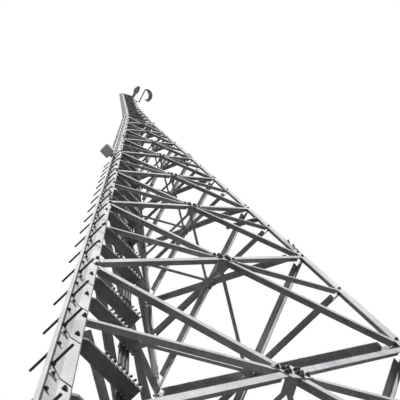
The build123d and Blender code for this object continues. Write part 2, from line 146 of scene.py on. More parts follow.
def galvanisedSteel(name, colours, roughness, metallic=0.0, spangleMm=14, specular=0.2):
    # Hot-dip zinc: crystals a centimetre or so across, dulled by years outdoors to a chalky grey
    bright, dull, grime = colours
    steel = newMaterial(name)
    place = addNode(steel, "ShaderNodeTexCoord").outputs["Object"]
    spangle = addNode(
        steel, "ShaderNodeTexVoronoi", {"Scale": 1000 / spangleMm}, {"Vector": place})
    cloud = addNode(
        steel, "ShaderNodeTexNoise",
        {"Scale": 1000 / zinc["cloudMm"], "Detail": 5, "Roughness": 0.6}, {"Vector": place})
    stretch = addNode(
        steel, "ShaderNodeMapping", {"Scale": (1, 1, zinc["runStretch"])}, {"Vector": place})
    runs = addNode(
        steel, "ShaderNodeTexNoise", {"Scale": 1000 / zinc["runMm"], "Detail": 3},
        {"Vector": stretch.outputs["Vector"]})
    tone = addNode(
        steel, "ShaderNodeValToRGB", {"stops": [(0.1, dull), (0.9, bright)]},
        {"Fac": spangle.outputs["Color"]})
    weather = addNode(
        steel, "ShaderNodeValToRGB", {"stops": [(0.35, dull), (0.62, bright)]},
        {"Fac": cloud.outputs["Fac"]})
    mixed = addNode(
        steel, "ShaderNodeMix", {"data_type": "RGBA", "Factor": zinc["cloudShare"]},
        {"A": tone.outputs["Color"], "B": weather.outputs["Color"]})
    streak = addNode(
        steel, "ShaderNodeMapRange",
        {"From Min": 0.56, "From Max": 0.72, "To Min": 0.0, "To Max": zinc["runDark"]},
        {"Value": runs.outputs["Fac"]})
    dirty = addNode(
        steel, "ShaderNodeMix", {"data_type": "RGBA", "B": linear(grime)},
        {"Factor": streak.outputs["Result"], "A": mixed.outputs["Result"]})
    rough = addNode(
        steel, "ShaderNodeMapRange",
        {"From Min": 0.3, "From Max": 0.7, "To Min": roughness + zinc["roughSwing"],
         "To Max": roughness - zinc["roughSwing"]},
        {"Value": cloud.outputs["Fac"]})
    bump = addNode(
        steel, "ShaderNodeBump", {"Strength": zinc["bump"], "Distance": zinc["bumpHeight"]},
        {"Height": spangle.outputs["Distance"]})
    surface = addNode(
        steel, "ShaderNodeBsdfPrincipled", {"Metallic": metallic, "Specular IOR Level": specular},
        {"Base Color": dirty.outputs["Result"], "Roughness": rough.outputs["Result"],
         "Normal": bump.outputs["Normal"]})
    addNode(steel, "ShaderNodeOutputMaterial", links={"Surface": surface.outputs["BSDF"]})
    return steel


# Thick zinc on the rolled legs and plates stays pale and chalky; the thin bars are greyer
legSteel = galvanisedSteel(
    "galvanisedLegSteel", ("#e2e3e4", "#c0c2c4", "#85878a"), 0.78, specular=0.06)
barSteel = galvanisedSteel(
    "galvanisedBarSteel", ("#d3d4d6", "#a9abae", "#6e7073"), 0.72, specular=0.10)
plateSteel = galvanisedSteel(
    "galvanisedPlateSteel", ("#e9eaeb", "#cccdcf", "#95979a"), 0.74, specular=0.08)
# Bolts are painted dark, a painted shade for the shadow round their nuts and on their sides; the
# clips' plating is fresher and brighter
shadeDarkBoltZinc = galvanisedSteel(
    "boltZincDarkForShade", ("#55575a", "#37393b", "#232426"), 0.55, metallic=0.15, spangleMm=5)
clipZinc = galvanisedSteel(
    "brightZincClip", ("#eceded", "#d2d3d5", "#9b9da0"), 0.50, metallic=0.10, spangleMm=5)
# The channels, arms and platforms, and the head's bars, are a deeper grey than the other zinc
darkSteel = galvanisedSteel(
    "deepGreyChannelSteel", ("#818386", "#5d5f62", "#3f4143"), 0.62, metallic=0.05)
headSteel = galvanisedSteel(
    "deepGreyHeadSteel", ("#8d8f92", "#65676a", "#434547"), 0.80, specular=0.04)
# Trunking is mill-galvanised sheet gone matt, so it keeps its grey even seen along its face
trunkSteel = galvanisedSteel(
    "mattTrunkingSteel", ("#85878a", "#6b6d70", "#4f5154"), 0.86, specular=0.03)
headTrunkSteel = galvanisedSteel(
    "mattHeadTrunkingSteel", ("#8f9194", "#7b7d80", "#65676a"), 0.86, specular=0.03)

# Extruded polyethylene: a smooth black gone dull outdoors, with grey dust on it
jacketSizes = {"dustMm": 60, "roughness": 0.62, "specular": 0.2}
cableJacket = newMaterial("blackPolyethyleneJacket")
jacketPlace = addNode(cableJacket, "ShaderNodeTexCoord").outputs["Object"]
dust = addNode(
    cableJacket, "ShaderNodeTexNoise", {"Scale": 1000 / jacketSizes["dustMm"], "Detail": 4},
    {"Vector": jacketPlace})
jacketTone = addNode(
    cableJacket, "ShaderNodeValToRGB", {"stops": [(0.35, "#1c1d1e"), (0.75, "#323335")]},
    {"Fac": dust.outputs["Fac"]})
jacket = addNode(
    cableJacket, "ShaderNodeBsdfPrincipled",
    {"Roughness": jacketSizes["roughness"], "Specular IOR Level": jacketSizes["specular"]},
    {"Base Color": jacketTone.outputs["Color"]})
addNode(cableJacket, "ShaderNodeOutputMaterial", links={"Surface": jacket.outputs["BSDF"]})

# Powder-coated aluminium: an even off-white with the fine orange-peel of a baked coat
coat = {
    "peelMm": 4, "fadeMm": 180, "bump": 0.15, "bumpHeight": 0.0003, "roughness": 0.5,
    "specular": 0.3,
}
housing = newMaterial("paintedAluminiumHousing")
housingPlace = addNode(housing, "ShaderNodeTexCoord").outputs["Object"]
peel = addNode(
    housing, "ShaderNodeTexNoise", {"Scale": 1000 / coat["peelMm"], "Detail": 2},
    {"Vector": housingPlace})
fade = addNode(
    housing, "ShaderNodeTexNoise", {"Scale": 1000 / coat["fadeMm"], "Detail": 4},
    {"Vector": housingPlace})
housingTone = addNode(
    housing, "ShaderNodeValToRGB", {"stops": [(0.3, "#e4e5e6"), (0.7, "#f0f0f1")]},
    {"Fac": fade.outputs["Fac"]})
housingBump = addNode(
    housing, "ShaderNodeBump", {"Strength": coat["bump"], "Distance": coat["bumpHeight"]},
    {"Height": peel.outputs["Fac"]})
paint = addNode(
    housing, "ShaderNodeBsdfPrincipled",
    {"Roughness": coat["roughness"], "Specular IOR Level": coat["specular"]},
    {"Base Color": housingTone.outputs["Color"], "Normal": housingBump.outputs["Normal"]})
addNode(housing, "ShaderNodeOutputMaterial", links={"Surface": paint.outputs["BSDF"]})

finishes = {
    "galvanised_legs": legSteel, "galvanised_bracing": barSteel,
    "galvanised_fittings": plateSteel, "cable_jacket": cableJacket, "grey_housing": housing,
}
ownFinishes = {
    "feeder_hangers": darkSteel, "right_leg_arms": darkSteel, "side_channel": trunkSteel,
    "head_channel": headTrunkSteel,
}
slotOf = {part["node"]: part["material_slot"] for part in frame["record"]["subparts"]}
for name, node in nodes.items():
    finish = ownFinishes.get(name, finishes[slotOf[name]])
    if name.startswith("head_bracing"):
        finish = headSteel
    node.data.materials.clear()
    node.data.materials.append(finish)
print("materials on", len(nodes), "nodes")


# Small fittings, each family joined into one mesh
def newPiece(name, mesh, material, replaced=()):
    bmesh.ops.recalc_face_normals(mesh, faces=mesh.faces)
    data = bpy.data.meshes.new(name)
    mesh.to_mesh(data)
    mesh.free()
    data.materials.append(material)
    piece = bpy.data.objects.new(name, data)
    bpy.context.scene.collection.objects.link(piece)
    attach(piece, "root")
    if replaced:
        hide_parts(*replaced)


def skin(mesh, loops, smooth=False):
    # Faces from each loop of points to the next, and one over each end
    count = len(loops[0])
    for low, high in zip(loops[:-1], loops[1:]):
        for k in range(count):
            after = (k + 1) % count
            face = mesh.faces.new((low[k], low[after], high[after], high[k]))
            face.smooth = smooth
    mesh.faces.new(loops[0][::-1])
    mesh.faces.new(loops[-1])


def lathe(mesh, place, along, rings, sides, turn=0.0, smooth=False):
    # Closed body of rings (distance along, radius), square to its line
    side = along.orthogonal().normalized()
    other = along.cross(side)
    loops = []
    for distance, radius in rings:
        centre = place + along * distance
        loop = []
        for k in range(sides):
            angle = turn + math.tau * k / sides
            spoke = side * math.cos(angle) + other * math.sin(angle)
            loop.append(mesh.verts.new(centre + spoke * radius))
        loops.append(loop)
    skin(mesh, loops, smooth)


def block(mesh, place, x, y, z):
    # Block with a small chamfer at its far end: half-width, half-depth and height vectors
    corners = ((-1, -1), (1, -1), (1, 1), (-1, 1))
    loops = []
    for height, size in ((0.0, 1.0), (0.8, 1.0), (1.0, 0.8)):
        centre = place + z * height
        loops.append([mesh.verts.new(centre + (x * a + y * b) * size) for a, b in corners])
    skin(mesh, loops)


# One bolt: its sizes in metres, then shares of those sizes
boltSizes = {"across": 0.019, "washer": 0.0025, "nut": 0.009, "thread": 0.006, "head": 0.008}
boltShares = {
    "washer": 1.25, "chamfer": 0.86, "thread": 0.52, "tip": 0.7, "nutStraight": 0.86,
    "straight": 0.8,
}


def bolt(mesh, place, out, grip, scale=1.0):
    # Washer, nut and thread end outside; hexagon head behind the steel it grips
    size = {key: value * scale for key, value in boltSizes.items()}
    flat = size["across"] / root3
    washer, chamfer, thread = [flat * boltShares[key] for key in ("washer", "chamfer", "thread")]
    straight = boltShares["straight"]
    nutTop = size["washer"] + size["nut"]
    turn = random.uniform(0, math.pi / 3)
    lathe(mesh, place, out, [(0, washer), (size["washer"], washer)], 10)
    nutEdge = nutTop * boltShares["nutStraight"]
    lathe(mesh, place, out, [(size["washer"], flat), (nutEdge, flat), (nutTop, chamfer)], 6, turn)
    threadRings = [
        (nutTop, thread), (nutTop + size["thread"] * straight, thread),
        (nutTop + size["thread"], thread * boltShares["tip"]),
    ]
    lathe(mesh, place, out, threadRings, 8)
    if grip:
        headRings = [(0, flat), (size["head"] * straight, flat), (size["head"], chamfer)]
        lathe(mesh, place - out * grip, -out, headRings, 6, turn)


# Bolts of the crossed bracing: at the bars' ends and on the crossing plates
bracing = {
    "nodeGap": 0.075, "diagonal": 0.050, "diagonalThick": 0.005, "level": 0.040,
    "levelThick": 0.004, "barEdge": 0.048, "barGap": 0.004, "plateThick": 0.006,
    "plateReach": 0.045, "plateRise": 0.032,
}
bracingBolt = {
    "endAlong": 0.011, "endSide": 0.013, "plateOut": 0.046, "platePitch": 0.030,
    "levelOut": 0.040, "levelPitch": 0.028, "least": 0.030, "levelEnd": 0.006, "margin": 0.003,
}


def panelPoints(azimuth, number):
    # Ends and crossing of a panel's two diagonals, on the inside of the leg flanges
    z0 = mast["firstLevel"] + number * mast["panel"]
    normal = faceNormal(azimuth, z0)
    depth = normal * -mast["legThick"]
    low, high = z0 + bracing["nodeGap"], z0 + mast["panel"] - bracing["nodeGap"]
    halfLow, halfHigh = [widthAt(z) / 2 - bracing["barEdge"] for z in (low, high)]
    ends = {
        "leftLow": onFace(azimuth, -halfLow, low) + depth,
        "rightLow": onFace(azimuth, halfLow, low) + depth,
        "leftHigh": onFace(azimuth, -halfHigh, high) + depth,
        "rightHigh": onFace(azimuth, halfHigh, high) + depth,
    }
    share = halfLow / (halfLow + halfHigh)
    middle = ends["leftHigh"] + (ends["rightLow"] - ends["leftHigh"]) * (1 - share)
    return ends, middle, normal


def steepness(ends):
    climb = ends["leftHigh"] - ends["rightLow"]
    return math.atan2(climb.z, climb.xy.length)


def bracingBolts(azimuth, numbers):
    mesh = bmesh.new()
    half = bracing["diagonal"] / 2
    across = polar(1, azimuth + 90)
    margin = boltSizes["across"] / root3 + bracingBolt["margin"]
    for number in numbers:
        ends, middle, normal = panelPoints(azimuth, number)
        steep = steepness(ends)
        crossAngle = math.pi - 2 * steep if steep > math.pi / 4 else 2 * steep
        gap = (half + half * math.cos(crossAngle)) / math.sin(crossAngle) + bracing["barGap"]
        levelGap = (half + bracing["level"] / 2 * math.cos(steep)) / math.sin(steep)
        levelGap += bracing["barGap"]
        through = (ends["rightLow"] - ends["leftHigh"]).normalized()
        plateSide = through.cross(normal).normalized()
        plateReach = max(gap * math.cos(crossAngle), levelGap * math.cos(steep))
        plateReach += bracing["plateReach"] - margin
        plateRise = max(gap * math.sin(crossAngle), levelGap * math.sin(steep))
        plateRise += bracing["plateRise"] - margin

        def onPlate(along, step):
            # The step, or as far as the bolt still sits on the crossing plate
            limits = [limit / max(abs(along.dot(way)), 0.001) for limit, way in
                      ((plateReach, through), (plateRise, plateSide))]
            return min([step] + limits)

        lift = normal * bracing["plateThick"]
        for end in ends.values():
            along = (middle - end).normalized()
            side = along.cross(normal).normalized()
            toLeg = -1 if side.dot(across) * (end - middle).dot(across) < 0 else 1
            place = end + along * bracingBolt["endAlong"] + side * toLeg * bracingBolt["endSide"]
            bolt(mesh, place + normal * mast["legThick"], normal,
                 mast["legThick"] + bracing["diagonalThick"])
            outer = onPlate(along, gap + bracingBolt["plateOut"])
            inner = max(outer - bracingBolt["platePitch"], bracingBolt["least"])
            for step in (outer, inner):
                bolt(mesh, middle - along * step + lift, normal,
                     bracing["plateThick"] + bracing["diagonalThick"])
        edgeOut = widthAt(middle.z) / 2 - bracing["barEdge"] + bracingBolt["levelEnd"]
        for sign in (-1, 1):
            outer = onPlate(across, levelGap + bracingBolt["levelOut"])
            inner = max(outer - bracingBolt["levelPitch"], bracingBolt["least"])
            for step in (outer, inner):
                bolt(mesh, middle + across * sign * step + lift, normal,
                     bracing["plateThick"] + bracing["levelThick"])
            edge = middle + across * sign * edgeOut
            bolt(mesh, edge + normal * mast["legThick"], normal,
                 mast["legThick"] + bracing["levelThick"])
    return mesh


for faceName, azimuth in faceAzimuths.items():
    for index, section in enumerate(sections):
        first = index * mast["panelsPerSection"]
        mesh = bracingBolts(azimuth, range(first, first + mast["panelsPerSection"]))
        newPiece(f"bracing_bolts_{faceName}_{section}", mesh, shadeDarkBoltZinc)
print("bracing bolts made")

# Tapered ends that carry the front bars' standing flanges on to the legs
flange = {
    "copeGap": 0.008, "leastCope": 0.012, "rootFrom": 0.030, "lap": 0.001, "leastLength": 0.003,
    "levelTip": 0.008,
}


def copeFor(size, steep, risingAway):
    # How far the standing flange of a bar starts from the bar's end
    reach = (mast["legThick"] + size) * root3 + flange["copeGap"]
    edge = size / 2 if risingAway else bracing["diagonalThick"] - size / 2
    lean = mast["taper"] / 2 * math.sin(steep) * (-1 if risingAway else 1)
    straight = max(reach - bracing["barEdge"] + edge * math.sin(steep), flange["leastCope"])
    return straight / (math.cos(steep) + lean)


def flangeEnd(mesh, start, along, normal, size, thick, shallow, deep, last):
    side = along.cross(normal).normalized()
    if side.z < 0:
        side = -side
    outline = [(shallow, 0), (last, 0), (last, -size), (deep, -size)]
    loops = []
    for offset in (size / 2 - thick, size / 2):
        loops.append([mesh.verts.new(start + along * s + normal * d + side * offset)
                      for s, d in outline])
    skin(mesh, loops)


def flangeEnds(azimuth):
    mesh = bmesh.new()
    size = bracing["diagonal"]
    across = polar(1, azimuth + 90)
    for number in range(mast["panels"]):
        ends, middle, normal = panelPoints(azimuth, number)
        steep = steepness(ends)
        for name, end in ends.items():
            risingAway = name.endswith("Low")
            along = (middle - end).normalized()
            offset = size / 2 * math.sin(steep) * (-1 if risingAway else 1)
            first = bracing["barEdge"] + offset
            shallow = max(flange["rootFrom"] - first, 0) / math.cos(steep)
            deep = max(mast["legFlange"] - first, 0) / math.cos(steep)
            last = copeFor(size, steep, risingAway) + flange["lap"]
            if last > deep + flange["leastLength"]:
                flangeEnd(mesh, end, along, normal, size, bracing["diagonalThick"],
                          shallow, deep, last)
        half = widthAt(middle.z) / 2 - bracing["barEdge"]
        level = middle.z + normal.z * mast["legThick"]
        last = copeFor(bracing["level"], 0, True) + flange["lap"]
        for sign in (-1, 1):
            start = onFace(azimuth, sign * half, level) - normal * mast["legThick"]
            flangeEnd(mesh, start, -across * sign, normal, bracing["level"],
                      bracing["levelThick"], 0, flange["levelTip"], last)
    return mesh


newPiece("front_flange_ends", flangeEnds(faceAzimuths["front"]), barSteel)

# Bolts through the splice plates of the legs
splice = {
    "aboveLevel": 0.450, "length": 0.420, "thick": 0.008, "rows": 4, "inset": 0.045,
    "nearRow": 0.036, "farRow": 0.020, "boltScale": 0.85,
}
firstJoint = mast["firstLevel"] + sectionHeight + splice["aboveLevel"]
legJoints = [firstJoint, firstJoint + sectionHeight]


def spliceBolts():
    mesh = bmesh.new()
    rowSpan = splice["length"] - 2 * splice["inset"]
    for azimuth in legAzimuths.values():
        for joint in legJoints + [kink]:
            for row in range(splice["rows"]):
                share = row / (splice["rows"] - 1)
                z = joint - splice["length"] / 2 + splice["inset"] + share * rowSpan
                stagger = splice["farRow"] if row % 2 else splice["nearRow"]
                for side in (-1, 1):
                    along = polar(1, azimuth + 180 + side * 30)
                    out = polar(1, azimuth + 180 + side * 120)
                    place = corner(azimuth, z) + along * stagger + out * splice["thick"]
                    bolt(mesh, place, out, splice["thick"] + mast["legThick"],
                         splice["boltScale"])
    return mesh


newPiece("splice_bolts", spliceBolts(), shadeDarkBoltZinc)

# Anchor bolts of the three feet, each with two nuts and a washer
feet = {
    "plateThick": 0.025, "spacing": 0.230, "studRadius": 0.012, "studTop": 0.062, "nut": 0.019,
    "across": 0.036, "washer": 0.004, "washerShare": 1.2, "nutShare": 0.98, "chamfer": 0.002,
    "chamferShare": 0.9, "threads": 6, "threadFrom": 0.0012, "threadPitch": 0.0028,
    "rootShare": 0.88, "tipShare": 0.8, "shankShare": 0.9, "shankUp": 0.001,
}


def anchorBolts():
    mesh = bmesh.new()
    flat = feet["across"] / root3
    washer, edge = flat * feet["washerShare"], flat * feet["chamferShare"]
    stud, chamfer = feet["studRadius"], feet["chamfer"]
    shank = stud * feet["shankShare"]
    for azimuth in legAzimuths.values():
        centre = corner(azimuth, 0) + polar(mast["footOffset"], azimuth + 180)
        for sx in (-1, 1):
            for sy in (-1, 1):
                place = centre + Vector((sx, sy, 0)) * feet["spacing"] / 2
                place += up * feet["plateThick"]
                lathe(mesh, place, up, [(0, washer), (feet["washer"], washer)], 20)
                for low in (feet["washer"], feet["washer"] + feet["nut"]):
                    high = low + feet["nut"] * feet["nutShare"]
                    turn = random.uniform(0, math.pi / 3)
                    nutRings = [(low, edge), (low + chamfer, flat), (high - chamfer, flat),
                                (high, edge)]
                    lathe(mesh, place, up, nutRings, 6, turn)
                nutsTop = feet["washer"] + 2 * feet["nut"]
                rings = [(nutsTop, stud)]
                for k in range(feet["threads"]):
                    at = nutsTop + feet["threadFrom"] + k * feet["threadPitch"]
                    rings += [(at, stud), (at + feet["threadPitch"] / 2, stud * feet["rootShare"])]
                rings.append((feet["studTop"], stud * feet["tipShare"]))
                lathe(mesh, place, up, rings, 16)
                lathe(mesh, place - up * (feet["plateThick"] - feet["shankUp"]), up,
                      [(0, shank), (feet["plateThick"], shank)], 12)
    return mesh


# Weld beads round the shoes, rippled as a hand-laid bead is
weld = {
    "bead": 0.009, "shoeThick": 0.010, "over": 0.015, "steps": 22, "ripple": 0.12,
    "rippleTurn": 2.3, "scatter": 0.05, "sunk": 0.001, "crownOut": 0.55, "crownUp": 0.6,
}


def weldBeads():
    mesh = bmesh.new()
    for azimuth in legAzimuths.values():
        start = corner(azimuth, feet["plateThick"])
        reach = mast["legFlange"] + weld["over"]
        leftOut, rightOut = polar(1, azimuth + 60), polar(1, azimuth - 60)
        tipA = start + polar(reach, azimuth + 150) + polar(weld["shoeThick"], azimuth + 60)
        tipB = start + polar(reach, azimuth + 210) + polar(weld["shoeThick"], azimuth - 60)
        nose = start + polar(2 * weld["shoeThick"], azimuth)
        for first, last, out in ((tipA, nose, leftOut), (nose, tipB, rightOut)):
            loops = []
            for k in range(weld["steps"] + 1):
                place = first.lerp(last, k / weld["steps"])
                ripple = weld["ripple"] * math.sin(k * weld["rippleTurn"])
                scatter = random.uniform(-weld["scatter"], weld["scatter"])
                size = weld["bead"] * (1 + ripple + scatter)
                inner = place - out * weld["sunk"]
                crown = place + out * size * weld["crownOut"] + up * size * weld["crownUp"]
                points = (inner, place + out * size, crown, inner + up * size)
                loops.append([mesh.verts.new(point) for point in points])
            skin(mesh, loops)
    return mesh


newPiece("anchor_bolts", anchorBolts(), shadeDarkBoltZinc)
newPiece("shoe_welds", weldBeads(), plateSteel)
print("splice and anchor bolts made")

# Climbing rail: a rolled tee in three lengths with rounded flange edges, closed to the leg's corner
rail = {
    "web": 0.056, "webThick": 0.006, "flange": 0.030, "flangeThick": 0.005, "bottom": 1.900,
    "topGap": 0.060, "endGap": 0.001, "round": 0.0012,
}
railDepth = rail["web"] + rail["flangeThick"]


def climbingRail():
    mesh = bmesh.new()
    web, r = rail["web"], rail["round"]
    halfWeb, halfFlange = rail["webThick"] / 2, rail["flange"] / 2
    right = [(web, halfWeb), (web, halfFlange - r), (web + r, halfFlange),
             (railDepth - r, halfFlange), (railDepth, halfFlange - r)]
    outline = [(0, 0), (-halfWeb * root3, halfWeb)] + right
    outline += [(out, -across) for out, across in right[::-1]] + [(-halfWeb * root3, -halfWeb)]
    ends = [rail["bottom"]] + legJoints + [kink - rail["topGap"]]
    for low, high in zip(ends[:-1], ends[1:]):
        loops = []
        for z in (low + rail["endGap"], high - rail["endGap"]):
            loops.append([mesh.verts.new(legPoint(nearLeg, z, out, across))
                          for out, across in outline])
        skin(mesh, loops)
    return mesh


newPiece("rolled_climbing_rail", climbingRail(), plateSteel,
         ["climbing_rail"])

# Round step bolts with a chamfered end, a nut and a washer at the rail's web
steps = {
    "first": 2.124, "top": 14.000, "pitch": 0.281, "radius": 0.0057, "left": 0.146,
    "right": 0.104, "rootOut": 0.039, "across": 0.017, "washer": 0.0025, "washerShare": 1.2,
    "nut": 0.012, "nutTop": 0.0135, "backNut": 0.009, "backTop": 0.011, "backShare": 0.8,
    "tip": 0.003, "tipShare": 0.7,
}


def stepBolts():
    mesh = bmesh.new()
    count = int((steps["top"] - steps["first"]) / steps["pitch"]) + 1
    flat, r = steps["across"] / root3, steps["radius"]
    washer = flat * steps["washerShare"]
    washerRings = [(0, washer), (steps["washer"], washer)]
    nutRings = [(steps["washer"], flat), (steps["nut"], flat),
                (steps["nutTop"], flat * boltShares["chamfer"])]
    backRings = [(0, flat), (steps["backNut"], flat),
                 (steps["backTop"], flat * steps["backShare"])]
    for k in range(count):
        sign, length = ((1, steps["right"]), (-1, steps["left"]))[k % 2]
        across = railSide * sign
        place = corner(nearLeg, steps["first"] + k * steps["pitch"])
        place += polar(steps["rootOut"], nearLeg)
        place += across * rail["webThick"] / 2
        barRings = [(steps["nut"], r), (length - steps["tip"], r),
                    (length, r * steps["tipShare"])]
        lathe(mesh, place, across, barRings, 14, smooth=True)
        lathe(mesh, place, across, washerRings, 12)
        lathe(mesh, place, across, nutRings, 6)
        lathe(mesh, place - across * rail["webThick"], -across, backRings, 6)
    return mesh


newPiece("round_step_bolts", stepBolts(), shadeDarkBoltZinc, ["step_bolts"])

# Clips that hold the rail to the leg: a folded tab on each side of the web, with its bolt
clips = {
    "first": 2.02, "pitch": 0.5625, "topGap": 0.4, "from": 0.010, "reach": 0.034, "wide": 0.030,
    "thick": 0.005, "boltOut": 0.030, "boltScale": 0.7,
}


def railClips():
    tabs, fixings = bmesh.new(), bmesh.new()
    halfReach = clips["reach"] / 2
    z = clips["first"]
    while z < kink - clips["topGap"]:
        for side in (-1, 1):
            across = railSide * side
            root = corner(nearLeg, z) + across * (rail["webThick"] / 2)
            block(tabs, root + railOut * (clips["from"] + halfReach), railOut * halfReach,
                  up * clips["wide"] / 2, across * clips["thick"])
            bolt(fixings, root + railOut * clips["boltOut"] + across * clips["thick"], across, 0,
                 clips["boltScale"])
        z += clips["pitch"]
    return tabs, fixings


tabs, fixings = railClips()
newPiece("rail_clips", tabs, plateSteel)
newPiece("rail_clip_bolts", fixings, shadeDarkBoltZinc)

# Bracket between the rail and the square box, with the box's door frame
box = {
    "level": 13.840, "width": 0.124, "depth": 0.118, "height": 0.240, "back": 0.085,
    "strapShares": (0.2, 0.8), "strapAcross": 0.024, "strapRise": 0.016, "rim": 0.004,
    "rimHalf": 0.005, "rimInset": 0.007, "rimShort": 0.004, "rimShare": 0.46,
}


def boxFittings():
    bracket, doorFrame = bmesh.new(), bmesh.new()
    for share in box["strapShares"]:
        root = legPoint(nearLeg, box["level"] + share * box["height"], railDepth, 0)
        block(bracket, root, railSide * box["strapAcross"], up * box["strapRise"],
              railOut * (box["back"] - railDepth))
    front, thick = box["back"] + box["depth"], railOut * box["rim"]
    for side in (-1, 1):
        place = legPoint(nearLeg, box["level"] + box["height"] / 2, front,
                         side * (box["width"] / 2 - box["rimInset"]))
        block(doorFrame, place, railSide * box["rimHalf"],
              up * (box["height"] / 2 - box["rimShort"]), thick)
        z = box["level"] + box["height"] * (0.5 + side * box["rimShare"])
        block(doorFrame, legPoint(nearLeg, z, front, 0),
              railSide * (box["width"] / 2 - box["rimShort"]), up * box["rimHalf"], thick)
    return bracket, doorFrame


bracket, doorFrame = boxFittings()
newPiece("box_bracket", bracket, plateSteel)
newPiece("box_door_frame", doorFrame, housing)
print("rail, step bolts, rail clips and box fittings made")

# Feeder run: where the channels and cables are, the same as in the steelwork
feeder = {
    "pitch": 0.770, "topGap": 0.5, "reach": 0.376, "width": 0.066, "depth": 0.026,
    "cableRadius": 0.010, "cablePitch": 0.023, "cables": 3, "cableGap": 0.0003, "bottom": 1.500,
    "cableOver": 0.2,
}


def hangerLevel(z):
    # The same heights as the channels: shifted clear of the bracing where it meets the leg
    below = mast["firstLevel"]
    below += math.floor((z - mast["firstLevel"]) / mast["panel"]) * mast["panel"]
    wLow, wHigh = widthAt(below), widthAt(below + mast["panel"])
    crossing = below + mast["panel"] * wLow / (wLow + wHigh)
    node = below if z < crossing else below + mast["panel"]
    narrow = widthAt(node + mast["panel"] / 2)
    slope = (mast["panel"] - 2 * bracing["nodeGap"]) / (narrow - 2 * bracing["barEdge"])
    inner = mast["legThick"] + bracing["diagonal"] + feeder["width"] / 2
    end = (bracing["nodeGap"] + (2 * inner - bracing["barEdge"]) * slope
           + bracing["diagonal"] / 2 * math.hypot(1, slope) + feeder["width"])
    away = abs(z - node)
    if away < bracing["nodeGap"] - bracing["diagonal"]:
        return z
    z = node + math.copysign(max(away, end), z - node)
    if abs(z - crossing) < bracing["level"] + feeder["depth"]:
        z = crossing + math.copysign(bracing["level"] + feeder["depth"], z - crossing)
    return z


hangerCount = int((kink - feeder["topGap"] - mast["firstLevel"]) / feeder["pitch"])
hangerLevels = [
    hangerLevel(mast["firstLevel"] + k * feeder["pitch"]) for k in range(1, hangerCount)]
nearRun = (corner(nearLeg, kink) - corner(nearLeg, 0)).normalized()
cableSide = -(feeder["width"] / 2 + feeder["cableRadius"] + feeder["cableGap"])
cableOuts = [
    -(feeder["reach"] - feeder["cableRadius"] - k * feeder["cablePitch"])
    for k in range(feeder["cables"])]

# Clips along each channel's right edge on a round bar, and the channel's own two bolts
cableClip = {
    "from": 0.160, "pitch": 0.0235, "endGap": 0.004, "half": 0.0060, "tall": 0.9, "out": 0.011,
    "rise": 0.008, "barRadius": 0.0022, "barFrom": 0.01, "barOff": 0.002, "barOver": 0.006,
    "footUp": 0.004, "footIn": 0.004, "footOff": 0.012, "footWide": 0.75, "footTall": 0.8,
    "footOut": 0.010, "boltAlong": 0.030, "boltScale": 0.9,
}


def cableClips():
    bright, dark = bmesh.new(), bmesh.new()
    size, edge = cableClip["half"], feeder["width"] / 2
    barLength = feeder["reach"] - cableClip["from"] + cableClip["barOver"]
    barRings = [(0, cableClip["barRadius"]), (barLength, cableClip["barRadius"])]
    footWide, footTall = size * cableClip["footWide"], size * cableClip["footTall"]
    for z in hangerLevels:
        barStart = legPoint(
            nearLeg, z, -cableClip["from"] + cableClip["barFrom"], edge + cableClip["barOff"])
        lathe(bright, barStart, -railOut, barRings, 6)
        r = cableClip["from"]
        while r < feeder["reach"] - cableClip["endGap"]:
            for rise in (-cableClip["rise"], cableClip["rise"]):
                block(bright, legPoint(nearLeg, z + rise, -r, edge), railOut * size,
                      up * size * cableClip["tall"], railSide * cableClip["out"])
            foot = legPoint(nearLeg, z - feeder["depth"] / 2 + cableClip["footUp"],
                            -r - cableClip["footIn"], edge + cableClip["footOff"])
            block(dark, foot, railOut * footWide, up * footTall, railSide * cableClip["footOut"])
            r += cableClip["pitch"]
        for sign in (-1, 1):
            along = polar(1, nearLeg + 180 - sign * 30)
            place = corner(nearLeg, z) + along * cableClip["boltAlong"]
            bolt(dark, place, polar(1, nearLeg + 180 - sign * 120), 0, cableClip["boltScale"])
    return bright, dark


# A saddle round each cable at each channel, with its ear bolt
saddle = {
    "share": 1.13, "edgeShare": 0.98, "length": 0.022, "edge": 0.001, "earShare": 1.05,
    "boltScale": 0.55,
}


def cableSaddles():
    mesh = bmesh.new()
    ring, length = feeder["cableRadius"] * saddle["share"], saddle["length"]
    ringEdge = ring * saddle["edgeShare"]
    rings = [(0, ringEdge), (saddle["edge"], ring), (length - saddle["edge"], ring),
             (length, ringEdge)]
    earSide = cableSide - feeder["cableRadius"] * saddle["earShare"]
    for z in hangerLevels:
        for out in cableOuts:
            place = legPoint(nearLeg, z, out, cableSide)
            lathe(mesh, place - nearRun * length / 2, nearRun, rings, 14)
            bolt(mesh, legPoint(nearLeg, z, out, earSide), -railSide, 0, saddle["boltScale"])
    return mesh


# Turned connector with a knurled coupling nut, closed by its weather cap
connector = {
    "length": 0.058, "body": 0.0145, "nut": 0.0165, "boot": 0.030, "bootEdge": 0.002,
    "bootShare": 0.82, "neckShare": 0.9, "nutFrom": 0.32, "nutTo": 0.72, "nutEdge": 0.02,
    "knurls": 5, "knurlPitch": 0.07, "grooveShare": 0.94, "grooveEnd": 0.045, "capTo": 0.97,
    "capShare": 0.75,
}


